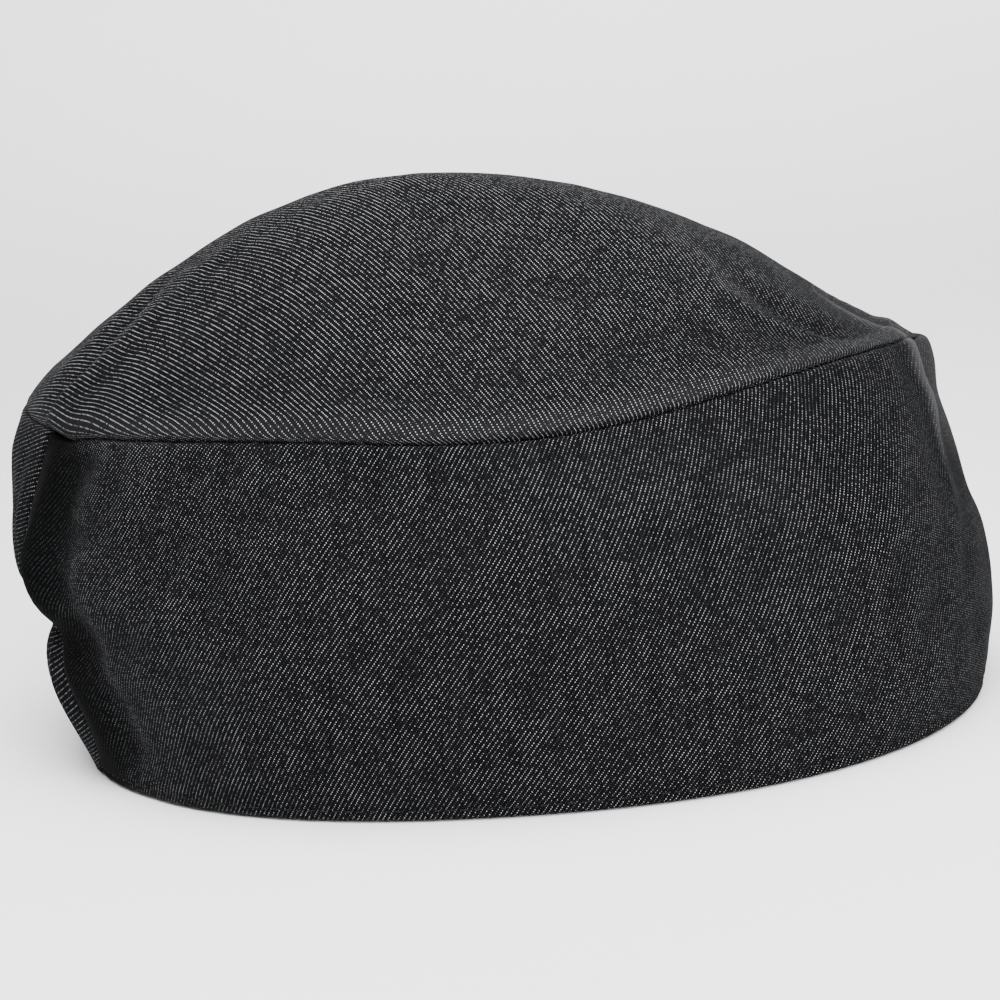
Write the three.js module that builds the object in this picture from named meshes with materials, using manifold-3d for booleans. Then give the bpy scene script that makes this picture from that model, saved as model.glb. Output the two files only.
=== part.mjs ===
// A denim chef's skull cap: a low, soft toque with a deep upright band, a domed crown and a short
// elasticated panel at the nape. Every cut piece of cloth, tape, elastic and visible row of thread is
// its own solid, at the place where it is sewn.
//
// Millimetres, +Z up. The hem stands on the plane Z = 0. The front of the cap faces -Y, the nape is
// towards +Y, and the wearer's left is +X. The origin is at the middle of the cap's footprint.
import * as THREE from "three";
import { mergeVertices } from "three/addons/utils/BufferGeometryUtils.js";
import Module from "manifold-3d";

const wasm = await Module();
wasm.setup();

// ---- Driving dimensions ----

// The hem is an oval, and the crown seam above it is a narrower oval with more pointed ends.
const HEM = { halfWidth: 81.6, halfLength: 103, squareness: 2.2 };
const SEAM = { halfWidth: 73, halfLength: 102.3, squareness: 1.8 };
const SEAM_HEIGHT = 77.6;
const SEAM_DROP = 2.1; // the crown seam hangs this much lower at the sides, and is higher at the ends
const TOP_HEIGHT = 123.6;
const CROWN_FULLNESS = 1.83; // 1 would be a cone, and 2 a paraboloid
const LEAN_BACK = 8.8; // the seam oval's middle lies this far behind the hem's
const APEX_BACK = 7.9; // and the crown's highest point this far behind that
const BAND_BULGE = { side: 6.2, end: 7.2 }; // how far the band swells out at mid height
const HEM_FORWARD = 4.3; // the hem's middle lies this far in front of the footprint's

// The elastic draws the nape in along the row of stitching over its channel.
const NOTCH = { height: 31, depth: 4, reach: 5.5, spread: 38 };

const CLOTH = 1; // denim
const TAPE = 0.45; // cotton binding
const LINING = 0.8; // sweatband
const THREAD = 0.4;
const GAP = 0.35; // between neighbouring layers

const TURN_UP = 8; // the hem's inner fold
const ALLOWANCE = 10; // the crown seam's turned-in edges
const HEM_ROW = 2.4; // the height of the topstitching above the hem
const BACK_HALF_WIDTH = 41; // from the middle of the nape to each seam of the back panel
const PANEL_GAP = 0.15; // each side of a vertical seam

const AROUND = 48; // facets round the cap
const NOMINAL_RADIUS = 92; // the radius at which profiles are drawn before they are laid on the oval

// ---- The cap's surface ----

const clamp01 = (value) => Math.min(1, Math.max(0, value));
const hump = (t) => 4 * t * (1 - t);

function ovalRadius({ halfWidth, halfLength, squareness }, angle) {
  const across = Math.abs(Math.cos(angle) / halfWidth) ** squareness;
  const along = Math.abs(Math.sin(angle) / halfLength) ** squareness;
  return (across + along) ** (-1 / squareness);
}

// The wall is bent at these heights, and everything sewn to it is bent at the same ones.
const BENDS = [6, 16, 24, NOTCH.height, 38, 48, 60, 70];
const ALL_BENDS = [0, ...BENDS, SEAM_HEIGHT];

// How far the elastic pulls the wall in at a height, for an angle round the cap from +X.
function notchDepth(angle, height) {
  const fromNape = NOMINAL_RADIUS * Math.cos(angle);
  const atBack = Math.sin(angle) > 0 ? Math.exp(-((fromNape / NOTCH.spread) ** 2)) : 0;
  return NOTCH.depth * atBack * Math.exp(-(((height - NOTCH.height) / NOTCH.reach) ** 2));
}

// How far the wall swells out at one of its bends.
function swellAt(angle, height) {
  const bulge = THREE.MathUtils.lerp(BAND_BULGE.side, BAND_BULGE.end, Math.sin(angle) ** 2);
  return bulge * hump(height / SEAM_HEIGHT) - notchDepth(angle, height);
}

// The same at any height: straight from each bend to the next.
function swell(angle, height) {
  const above = ALL_BENDS.findIndex((bend) => bend > height);
  if (height <= 0 || above < 0) return 0;
  const [low, high] = [ALL_BENDS[above - 1], ALL_BENDS[above]];
  const share = (height - low) / (high - low);
  return THREE.MathUtils.lerp(swellAt(angle, low), swellAt(angle, high), share);
}

// Lays a point of a profile on the cap. depth is measured inwards from the outer face of the band,
// at the nominal radius, and height is measured as if the crown seam were level.
function onCap(depth, height, angle) {
  const up = clamp01(height / SEAM_HEIGHT);
  const over = clamp01((height - SEAM_HEIGHT) / (TOP_HEIGHT - SEAM_HEIGHT));
  const level = THREE.MathUtils.lerp(ovalRadius(HEM, angle), ovalRadius(SEAM, angle), up);
  const outer = level + swell(angle, height);
  const radius = outer * (1 - depth / NOMINAL_RADIUS);
  const share = Math.min(1, 1 - depth / NOMINAL_RADIUS);
  const apexShift = over > 0 ? APEX_BACK * (1 - share ** 2) : 0;
  const droop = -SEAM_DROP * Math.cos(2 * angle) * up * (1 - over);
  return new THREE.Vector3(
    radius * Math.cos(angle),
    radius * Math.sin(angle) + LEAN_BACK * up + apexShift - HEM_FORWARD,
    height + droop,
  );
}

// ---- Solids ----

// A profile of [depth, height] corners, revolved and laid on the cap. One that doesn't end on the
// axis is closed first.
function ring(profile) {
  const onAxis = profile[0][0] === NOMINAL_RADIUS;
  const closed = onAxis ? profile : [...profile, profile[0]];
  const corners = closed.map(([depth, height]) => new THREE.Vector2(NOMINAL_RADIUS - depth, height));
  const geometry = new THREE.LatheGeometry(corners, AROUND);
  geometry.deleteAttribute("normal");
  geometry.deleteAttribute("uv");
  const position = geometry.getAttribute("position");
  for (let i = 0; i < position.count; i++) {
    const [x, height, z] = [position.getX(i), position.getY(i), position.getZ(i)];
    const depth = NOMINAL_RADIUS - Math.hypot(x, z);
    const laid = onCap(depth, height, Math.atan2(x, z));
    position.setXYZ(i, laid.x, laid.y, laid.z);
  }
  return solidOf(geometry);
}

// The triangles with three different corners, which leaves out those collapsed on the axis.
function openTriangles(index) {
  const kept = [];
  for (let i = 0; i < index.length; i += 3) {
    const [a, b, c] = index.slice(i, i + 3);
    if (a !== b && b !== c && c !== a) kept.push(a, b, c);
  }
  return kept;
}

function solidOf(geometry) {
  const merged = mergeVertices(geometry, 1e-4);
  const vertProperties = new Float32Array(merged.getAttribute("position").array);
  const triVerts = new Uint32Array(openTriangles(merged.index.array));
  return new wasm.Manifold(new wasm.Mesh({ numProp: 3, vertProperties, triVerts }));
}

// A box given by its lowest and highest corners, which cuts a ring to length.
function block(low, high) {
  const [size, middle] = [new THREE.Vector3(), new THREE.Vector3()];
  const box = new THREE.Box3(new THREE.Vector3(...low), new THREE.Vector3(...high));
  box.getSize(size);
  box.getCenter(middle);
  const geometry = new THREE.BoxGeometry(...size).translate(...middle);
  geometry.deleteAttribute("normal");
  geometry.deleteAttribute("uv");
  return solidOf(geometry);
}

const FAR = 200; // beyond the cap on every side

const cap = new THREE.Group();

function addPiece(name, solid, material) {
  const { numProp, vertProperties, triVerts } = solid.getMesh();
  const points = new THREE.InterleavedBuffer(new Float32Array(vertProperties), numProp);
  const geometry = new THREE.BufferGeometry();
  geometry.setAttribute("position", new THREE.InterleavedBufferAttribute(points, 3, 0));
  geometry.setIndex(new THREE.BufferAttribute(new Uint32Array(triVerts), 1));
  const mesh = new THREE.Mesh(geometry, material);
  mesh.name = name;
  cap.add(mesh);
}

// ---- Materials ----

const cloth = (color, roughness = 0.95) =>
  new THREE.MeshStandardMaterial({ color, roughness, metalness: 0 });
const denim = cloth(0x303034);
const binding = cloth(0x1c1c1f);
const sweatCloth = cloth(0x202023);
const elasticWeb = cloth(0x161618, 0.85);
const thread = cloth(0x0f0f11, 0.7);
const labelSatin = cloth(0xd8d6d0, 0.6);

// ---- Profiles, as [depth, height] corners ----

const rows = (depth, heights) => heights.map((height) => [depth, height]);
const levels = (foot, top) => [foot, ...BENDS.filter((bend) => bend > foot && bend < top), top];

// The wall, from its outer foot up and over its turned-in top edge to its inner foot.
const BAND_EDGE = 2 * CLOTH; // how deep the turned-in edge starts
const EDGE_FOOT = SEAM_HEIGHT - ALLOWANCE;
const wallOutline = [
  ...rows(0, levels(0, SEAM_HEIGHT - 1)),
  [CLOTH, SEAM_HEIGHT],
  [BAND_EDGE + 0.5, SEAM_HEIGHT],
  ...rows(BAND_EDGE + CLOTH, levels(EDGE_FOOT, SEAM_HEIGHT - 0.6).reverse()),
  ...rows(BAND_EDGE, levels(EDGE_FOOT, SEAM_HEIGHT - 1.3)),
  ...rows(CLOTH, levels(CLOTH, SEAM_HEIGHT - 1.3).reverse()),
];

// The band's hem is turned up inside.
const bandProfile = [
  ...wallOutline,
  ...rows(CLOTH + GAP, levels(CLOTH, TURN_UP)),
  ...rows(2 * CLOTH + GAP, levels(0, TURN_UP).reverse()),
];

// The crown: a dome whose edge is turned in over the band's and hangs down beside it.
const CROWN_EDGE = BAND_EDGE + CLOTH + GAP;
const domeHeight = (share) =>
  SEAM_HEIGHT + (TOP_HEIGHT - SEAM_HEIGHT) * (1 - share ** CROWN_FULLNESS);
const domePoint = (share, inwards) => {
  const run = (SEAM_HEIGHT - TOP_HEIGHT) * CROWN_FULLNESS * share ** (CROWN_FULLNESS - 1);
  const normal = new THREE.Vector2(-run, NOMINAL_RADIUS).normalize();
  return [
    NOMINAL_RADIUS * (1 - share) + inwards * normal.x,
    domeHeight(share) - inwards * normal.y,
  ];
};
const domeShares = [0.2, 0.38, 0.54, 0.68, 0.8, 0.9];
const crownProfile = [
  [NOMINAL_RADIUS, TOP_HEIGHT - CLOTH],
  ...domeShares.map((share) => domePoint(share, CLOTH)),
  domePoint(0.955, CLOTH),
  [CROWN_EDGE + CLOTH, SEAM_HEIGHT + 0.4],
  ...rows(CROWN_EDGE + CLOTH, levels(EDGE_FOOT, SEAM_HEIGHT).reverse()),
  ...rows(CROWN_EDGE, levels(EDGE_FOOT, SEAM_HEIGHT)),
  [BAND_EDGE + CLOTH, SEAM_HEIGHT + GAP],
  [CLOTH, SEAM_HEIGHT + GAP],
  [0.6, SEAM_HEIGHT + 0.8],
  ...[0.97, ...domeShares.toReversed()].map((share) => domePoint(share, 0)),
  [NOMINAL_RADIUS, TOP_HEIGHT],
];

// A strip that lies along the wall, from its outer depth to its inner one.
const strip = (outer, inner, foot, top) => [
  ...rows(outer, levels(foot, top)),
  ...rows(inner, levels(foot, top).reverse()),
];

// The binding folded round the two turned-in edges.
const TAPE_FOOT = EDGE_FOOT - GAP;
const TAPE_RISE = 7;
const tapeOuter = BAND_EDGE - GAP;
const tapeInner = CROWN_EDGE + CLOTH + GAP;
const TAPE_TOP = TAPE_FOOT + TAPE_RISE;
const crownTapeProfile = [
  ...rows(tapeOuter - TAPE, levels(TAPE_FOOT - TAPE, TAPE_TOP)),
  ...rows(tapeOuter, levels(TAPE_FOOT, TAPE_TOP).reverse()),
  ...rows(tapeInner, levels(TAPE_FOOT, TAPE_TOP)),
  ...rows(tapeInner + TAPE, levels(TAPE_FOOT - TAPE, TAPE_TOP).reverse()),
];

// The back panel's hem is folded up round the elastic, as a channel closed by a row of stitching.
const ELASTIC = { foot: CLOTH + 0.8, width: 25, thickness: 1.2, halfLength: 39.5 };
const CHANNEL_TOP = NOTCH.height + 3;
const elasticOuter = CLOTH + GAP;
const elasticTop = ELASTIC.foot + ELASTIC.width;
const elasticProfile = strip(
  elasticOuter,
  elasticOuter + ELASTIC.thickness,
  ELASTIC.foot,
  elasticTop,
);
const foldDepth = elasticOuter + ELASTIC.thickness + GAP;
const backProfile = [
  ...wallOutline,
  ...rows(foldDepth, levels(CLOTH, elasticTop + 0.6)),
  ...rows(CLOTH + GAP, levels(NOTCH.height, CHANNEL_TOP)),
  ...rows(2 * CLOTH + GAP, levels(NOTCH.height, CHANNEL_TOP).reverse()),
  ...rows(foldDepth + CLOTH, levels(0, elasticTop + 0.6).reverse()),
];

// The sweatband lines the forehead and sides, as far as the back panel.
const SWEATBAND = { foot: 2.5, top: 30, toSeam: 4 };
const sweatOuter = 2 * CLOTH + 2 * GAP;
const sweatProfile = strip(sweatOuter, sweatOuter + LINING, SWEATBAND.foot, SWEATBAND.top);

// Rows of thread lie on the face of the cloth.
const row = (depth, height) => strip(depth, depth + THREAD, height, height + THREAD);
const outsideRow = (height) => row(-GAP - THREAD, height);

// ---- The pieces ----

const across = (halfWidth, middle = 0) =>
  block([middle - halfWidth, 0, -FAR], [middle + halfWidth, FAR, FAR]);
const outsideBack = across(BACK_HALF_WIDTH + PANEL_GAP);
const insideBack = across(BACK_HALF_WIDTH - PANEL_GAP);

addPiece("front_band", ring(bandProfile).subtract(outsideBack), denim);
addPiece("back_panel", ring(backProfile).intersect(insideBack), denim);
addPiece("crown_panel", ring(crownProfile), denim);
addPiece("crown_seam_tape", ring(crownTapeProfile), binding);
addPiece("crown_tape_stitching", ring(row(tapeInner + TAPE + GAP, TAPE_TOP - 1.6)), thread);
addPiece("hem_topstitch", ring(outsideRow(HEM_ROW)).subtract(outsideBack), thread);

const backElastic = ring(elasticProfile).intersect(across(ELASTIC.halfLength));
addPiece("back_elastic", backElastic, elasticWeb);
addPiece("channel_topstitch", ring(outsideRow(NOTCH.height)).intersect(insideBack), thread);

const sweatGap = across(BACK_HALF_WIDTH + SWEATBAND.toSeam);
addPiece("sweatband", ring(sweatProfile).subtract(sweatGap), sweatCloth);
const sweatRow = ring(row(sweatOuter + LINING + GAP, SWEATBAND.top - 2.5));
addPiece("sweatband_stitching", sweatRow.subtract(sweatGap), thread);

// Each seam of the back panel has a tape with its own row of thread, above a tack that holds the end
// of the elastic.
const SEAM_TAPE = { halfWidth: 6, foot: CHANNEL_TOP + 1, top: TAPE_FOOT - TAPE - 1 };
const seamTapeOuter = CLOTH + GAP;
const seamTape = ring(strip(seamTapeOuter, seamTapeOuter + TAPE, SEAM_TAPE.foot, SEAM_TAPE.top));
const seamRowOuter = seamTapeOuter + TAPE + GAP;
const seamRow = ring(
  strip(seamRowOuter, seamRowOuter + THREAD, SEAM_TAPE.foot + 1, SEAM_TAPE.top - 1),
);
const TACK = { toEnd: 3, halfWidth: 1.2 };
const tackOuter = foldDepth + CLOTH + GAP;
const tack = ring(strip(tackOuter, tackOuter + THREAD, ELASTIC.foot + 1, elasticTop - 1));
for (const [side, sign] of [
  ["left", 1],
  ["right", -1],
]) {
  const seamX = sign * BACK_HALF_WIDTH;
  const tackX = sign * (ELASTIC.halfLength - TACK.toEnd);
  const onSeam = across(SEAM_TAPE.halfWidth, seamX);
  addPiece(`back_seam_tape_${side}`, seamTape.intersect(onSeam), binding);
  addPiece(`back_tape_stitching_${side}`, seamRow.intersect(across(THREAD, seamX)), thread);
  addPiece(`elastic_tack_${side}`, tack.intersect(across(TACK.halfWidth, tackX)), thread);
}

// A blank care label hangs from the crown seam's binding at the middle of the nape.
const LABEL = { halfWidth: 14, foot: 44, thickness: 0.4 };
const labelOuter = tapeInner + TAPE + THREAD + 2 * GAP;
const labelRing = ring(
  strip(labelOuter, labelOuter + LABEL.thickness, LABEL.foot, TAPE_TOP - 3),
);
addPiece("care_label", labelRing.intersect(across(LABEL.halfWidth)), labelSatin);

export default cap;
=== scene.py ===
"""A black denim chef's skull cap, standing on its hem.

The outer cloth is three panels: a band round the forehead and sides, a panel over the nape that
elastic gathers, and a domed crown. Each is laid out on the CAD part's ovals with its edges turned
in, and then settled as cloth. Tape, a sweatband, elastic, a label and single stitches finish it.

Sizes are in millimetres and angles in degrees round the cap, from the wearer's left (0) by the
nape (90) and the right (180) to the forehead (270). A depth is measured inwards from the outside.
"""

import math

import bpy
import numpy as np
from mathutils import Matrix, Vector

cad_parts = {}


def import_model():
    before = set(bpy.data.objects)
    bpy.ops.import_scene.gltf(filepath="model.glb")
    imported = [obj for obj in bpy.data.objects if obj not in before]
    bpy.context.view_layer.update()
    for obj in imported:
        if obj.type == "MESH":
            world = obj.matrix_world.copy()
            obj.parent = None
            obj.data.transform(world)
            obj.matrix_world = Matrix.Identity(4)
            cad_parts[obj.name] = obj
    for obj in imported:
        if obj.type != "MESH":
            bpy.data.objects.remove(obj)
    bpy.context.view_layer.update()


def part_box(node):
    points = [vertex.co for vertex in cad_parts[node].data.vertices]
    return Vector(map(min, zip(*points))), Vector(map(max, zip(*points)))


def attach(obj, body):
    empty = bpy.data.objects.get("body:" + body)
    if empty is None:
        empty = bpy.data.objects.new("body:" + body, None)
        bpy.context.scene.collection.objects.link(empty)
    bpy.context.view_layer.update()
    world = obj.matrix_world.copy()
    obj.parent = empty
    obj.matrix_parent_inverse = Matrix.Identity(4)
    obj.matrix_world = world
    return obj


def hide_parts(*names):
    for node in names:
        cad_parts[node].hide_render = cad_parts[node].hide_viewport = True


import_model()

MM = 0.001

# ---- The cap's shape, as in the CAD ----

HEM = (81.6, 103.0, 2.2)  # an oval's half width, half length and squareness
SEAM = (73.0, 102.3, 1.8)
TOP_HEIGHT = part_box("crown_panel")[1][2] / MM
SEAM_HEIGHT = 77.6
SEAM_DROP = 2.1  # the crown seam is this much lower at the sides, and higher at the ends
CROWN_FULLNESS = 1.83  # 1 would be a cone, and 2 a paraboloid
LEAN_BACK = 8.8  # the seam oval's middle lies this far behind the hem's
APEX_BACK = 7.9  # and the crown's highest point this far behind that
BULGE_SIDE, BULGE_END = 6.2, 7.2  # how far the band swells out at mid height
HEM_FORWARD = 4.3  # the hem's middle lies this far in front of the footprint's
HEM_ROW = 2.4  # height of the hem's stitching
ALLOWANCE = 10.0  # of the crown seam's turned-in edges

# ---- What the cloth adds ----

CLOTH = 0.9  # thickness of the denim
SEAM_WAVE = 1.4  # the crown seam wanders up and down this much
BACK_SEAM = 24.5  # degrees from the middle of the nape to each back seam, as the panels are laid out
NOTCH_HEIGHT = 34.5  # where the row of stitching over the elastic pulls the nape in
NOTCH_DEPTH, NOTCH_REACH, NOTCH_SPREAD = 8.2, 4.8, 40.0
CURL = 1.5  # radius of the band's turned-in top edge
CROWN_CURL = 0.9
BAND_FLAP_DEPTH, CROWN_FLAP_DEPTH = 2.5, 2.9  # of the turned-in edges' outer faces
SIDE_CURL = 1.5  # and of the edges at the back seams
FOLD = 1.0  # radius of the hem's fold
TURN_UP = 9.0
CHANNEL_DEPTH = 1.5  # how much deeper the channel's inner layer lies than a plain turn-up

MEAN_RADIUS = 92.0  # of the wall, for lengths round it
NAPE_RADIUS = 101.0  # of the wall at the nape
CROWN_SLOPE = 91.0  # from the crown's top down to its seam

STEP, NAPE_STEP = 1.8, 1.1  # spacing of the panels' points
SIDE_COLUMNS = 7  # columns at each side of a panel that lie on its curl or its flap
SIM_SCALE = 0.01  # the cloth is settled at ten times life size
SIM_FRAMES = 26

RIGHT_SEAM, LEFT_SEAM = 90 + BACK_SEAM, 450 - BACK_SEAM  # the band runs from one to the other
NAPE_LEFT_SEAM = LEFT_SEAM - 360  # the same seam, where the back panel begins


def lengths_along(points):
    """How far along a line of points each of them is."""
    return np.r_[0, np.cumsum(np.linalg.norm(np.diff(points, axis=0), axis=1))]


def circle_angles(start, end, step):
    """Angles from start to end, evenly spaced along the cap's middle oval by about step mm."""
    fine = np.linspace(start, end, 2000)
    walked = lengths_along(wall(fine, np.full(fine.shape, SEAM_HEIGHT / 2)))
    count = int(round(walked[-1] / step)) + 1
    along = np.linspace(0, walked[-1], count)
    return np.interp(along, walked, fine), along


def oval_radius(oval, angle):
    half_width, half_length, squareness = oval
    a = np.radians(angle)
    across = np.abs(np.cos(a) / half_width) ** squareness
    length = np.abs(np.sin(a) / half_length) ** squareness
    return (across + length) ** (-1 / squareness)


def from_nape(angle):
    """Degrees from the middle of the nape, without a sign."""
    return np.abs((np.asarray(angle) - 90 + 180) % 360 - 180)


def round_wall(degrees):
    """Millimetres round the wall."""
    return MEAN_RADIUS * np.radians(degrees)


def bell(x, width):
    return np.exp(-((x / width) ** 2))


def ramp(x, start, length):
    """Rises from 0 at start to 1 over a length."""
    return np.clip((x - start) / length, 0, 1)


def inward(angle):
    """Level unit vectors towards the middle of the cap."""
    a = np.radians(angle)
    return np.stack([-np.cos(a), -np.sin(a), 0 * a], -1)


def seam_angle(height):
    """Degrees from the middle of the nape to each back seam: the elastic's edges spread low down,
    and the cloth is drawn together above them."""
    return 21 + 6.0 * bell(height - 13, 13) - 5.0 * bell(height - 50, 16)


def true_angle(angle, height):
    """The angle where a point of the wall really is. The panels are laid out with their back seams
    upright at BACK_SEAM, and then those lean in and out with height."""
    away = from_nape(angle)
    seam = seam_angle(height)
    behind = away * seam / BACK_SEAM
    before = away + (seam - BACK_SEAM) * np.exp(-np.maximum(away - BACK_SEAM, 0) / 22)
    side = np.where((np.asarray(angle) - 90) % 360 < 180, 1, -1)
    return 90 + side * np.where(away < BACK_SEAM, behind, before)


def seam_height(angle):
    """The crown seam is highest at the ends, wanders, and dips at the top of each back seam."""
    a = np.radians(angle)
    wander = SEAM_WAVE * np.cos(4 * (a - math.radians(158)))
    dip = 1.3 * bell(from_nape(angle) - 26, 3.5)
    low_front = 1.7 * bell(from_nape(angle) - 180, 9)
    return SEAM_HEIGHT - SEAM_DROP * np.cos(2 * a) + wander - dip - low_front


def notch(angle, height):
    """How far the elastic pulls the wall in."""
    a = np.radians(angle)
    at_back = np.where(np.sin(a) > 0, bell(MEAN_RADIUS * np.cos(a), NOTCH_SPREAD), 0)
    reach = np.where(height > NOTCH_HEIGHT, NOTCH_REACH, 1.5 * NOTCH_REACH)
    return NOTCH_DEPTH * at_back * bell(height - NOTCH_HEIGHT, reach)


def wall(angle, height):
    """Points on the outside of the band, in mm."""
    angle = true_angle(angle, height)
    a = np.radians(angle)
    up = np.clip(height / SEAM_HEIGHT, 0, 1)
    level = oval_radius(HEM, angle) * (1 - up) + oval_radius(SEAM, angle) * up
    bulge = BULGE_SIDE + (BULGE_END - BULGE_SIDE) * np.sin(a) ** 2
    radius = level + bulge * 4 * up * (1 - up) - notch(angle, height)
    y = radius * np.sin(a) + LEAN_BACK * up - HEM_FORWARD
    z = height + (seam_height(angle) - SEAM_HEIGHT) * up
    return np.stack([radius * np.cos(a), y, z], -1)


def dome(angle, share):
    """Points on the outside of the crown. share is 0 at its top and 1 at its seam."""
    a = np.radians(angle)
    radius = oval_radius(SEAM, angle) * share
    foot = seam_height(angle)
    y = radius * np.sin(a) + LEAN_BACK - HEM_FORWARD + APEX_BACK * (1 - share**2)
    z = foot + (TOP_HEIGHT - foot) * (1 - share**CROWN_FULLNESS)
    return np.stack([radius * np.cos(a), y, z], -1)


def unit(vectors):
    return vectors / np.maximum(np.linalg.norm(vectors, axis=-1, keepdims=True), 1e-12)


def outward(surface, first, second, nudge=0.05):
    """The unit normals of a surface at two grids of parameters, pointing out of the cap."""
    along_first = surface(first + nudge, second) - surface(first - nudge, second)
    along_second = surface(first, second + nudge) - surface(first, second - nudge)
    return unit(np.cross(along_first, along_second))


# ---- Folds and waves ----


def waves(x, y, length, seed, count=14):
    """A smooth random height field with waves of about the given length, between about -1 and 1."""
    random = np.random.default_rng(seed)
    total = np.zeros(np.broadcast(x, y).shape)
    for _ in range(count):
        heading, phase = random.uniform(0, 2 * np.pi, 2)
        pitch = 2 * np.pi / (length * random.uniform(0.7, 1.5))
        total += np.cos(pitch * (x * np.cos(heading) + y * np.sin(heading)) + phase)
    return total / math.sqrt(count)


def crease(x, y, path, width):
    """How near points are to a path: 1 on it, falling away over width mm, and fading towards the
    path's end."""
    best = np.zeros(np.broadcast(x, y).shape)
    last = len(path) - 1
    for i, ((ax, ay), (bx, by)) in enumerate(zip(path, path[1:])):
        length = (bx - ax) ** 2 + (by - ay) ** 2
        t = np.clip(((x - ax) * (bx - ax) + (y - ay) * (by - ay)) / length, 0, 1)
        distance = np.hypot(x - ax - t * (bx - ax), y - ay - t * (by - ay))
        strength = 1 - ((i + t) / last) ** 3 * 0.85
        best = np.maximum(best, strength / (1 + (distance / width) ** 2) ** 1.5)
    return best


def mirrored(path, side):
    """A path given on the wearer's left: as it is for side 1, and on the right for side -1."""
    return [(side * x, y) for x, y in path]


# ---- Sheets of cloth as grids of points ----


def grid_faces(rows, columns):
    corner = (np.arange(rows - 1)[:, None] * columns + np.arange(columns - 1)[None]).ravel()
    return np.stack([corner, corner + 1, corner + columns + 1, corner + columns], -1)


def add(name, data):
    """A new object in the scene."""
    made = bpy.data.objects.new(name, data)
    bpy.context.scene.collection.objects.link(made)
    return made


def make_mesh(name, points, faces, uv=None, attributes=None):
    """A mesh object from points in mm. uv gives the cloth's own mm at each point."""
    mesh = bpy.data.meshes.new(name)
    mesh.from_pydata((np.asarray(points) * MM).tolist(), [], [list(map(int, f)) for f in faces])
    mesh.polygons.foreach_set("use_smooth", [True] * len(mesh.polygons))
    if uv is not None:
        corners = np.zeros(len(mesh.loops), np.int32)
        mesh.loops.foreach_get("vertex_index", corners)
        layer = mesh.uv_layers.new(name="cloth_mm")
        layer.data.foreach_set("uv", np.asarray(uv, np.float32)[corners].ravel())
    for label, values in (attributes or {}).items():
        layer = mesh.attributes.new(label, "FLOAT", "POINT")
        layer.data.foreach_set("value", np.asarray(values, np.float32).ravel())
    return add(name, mesh)


def settle(points, faces, hold, slack, bending):
    """Where a sheet's points lie once its cloth has settled. hold is how firmly each point is kept
    in its place, and slack how many times longer the cloth is than the room it has."""
    mesh = bpy.data.meshes.new("settling")
    mesh.from_pydata((points * SIM_SCALE).tolist(), [], [list(map(int, f)) for f in faces])
    sheet = add("settling", mesh)
    group = sheet.vertex_groups.new(name="hold")
    for value in np.unique(np.round(hold, 2)):
        group.add(np.flatnonzero(np.round(hold, 2) == value).tolist(), float(value), "REPLACE")
    sheet.shape_key_add(name="Basis")
    rest = sheet.shape_key_add(name="cut")
    middle = points.mean(0)
    cut = (middle + (points - middle) * slack) * SIM_SCALE
    rest.data.foreach_set("co", cut.astype(np.float32).ravel())
    cloth = sheet.modifiers.new("cloth", "CLOTH")
    settings = cloth.settings
    settings.quality, settings.mass, settings.air_damping = 7, 0.25, 2
    settings.tension_stiffness = settings.compression_stiffness = 30
    settings.shear_stiffness, settings.bending_stiffness = 12, bending
    settings.vertex_group_mass, settings.pin_stiffness = "hold", 25
    settings.rest_shape_key = rest
    settings.effector_weights.gravity = 0.3
    cloth.collision_settings.use_collision = False
    cloth.point_cache.frame_end = SIM_FRAMES
    for number in range(1, SIM_FRAMES + 1):
        bpy.context.scene.frame_set(number)
    settled = sheet.evaluated_get(bpy.context.evaluated_depsgraph_get())
    found = np.zeros(len(mesh.vertices) * 3, np.float32)
    settled.data.vertices.foreach_get("co", found)
    bpy.context.scene.frame_set(1)
    bpy.data.objects.remove(sheet)
    return found.reshape(-1, 3).astype(float) / SIM_SCALE


def grid_normals(points):
    """Outward unit normals of a grid whose rows go up and whose columns go round by the nape."""
    return unit(np.cross(np.gradient(points, axis=1), np.gradient(points, axis=0)))


def bends(points, normals):
    """How sharply a grid bulges, from -1 in a hollow to 1 on a ridge."""
    lap = np.zeros(points.shape)
    lap[1:-1] += points[2:] + points[:-2] - 2 * points[1:-1]
    lap[:, 1:-1] += points[:, 2:] + points[:, :-2] - 2 * points[:, 1:-1]
    return np.clip(-(lap * normals).sum(-1) / 0.35, -1, 1)


def evenly(start, end, step):
    return np.linspace(start, end, max(2, int(round(abs(end - start) / step)) + 1))


# ---- The wall panels ----


def quarter_turn(steps):
    """Six points round a quarter circle of radius 1: how far each has risen and gone in."""
    turn = [math.pi / 2 * i / steps for i in range(6)]
    return [(math.sin(t), 1 - math.cos(t)) for t in turn]


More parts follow.
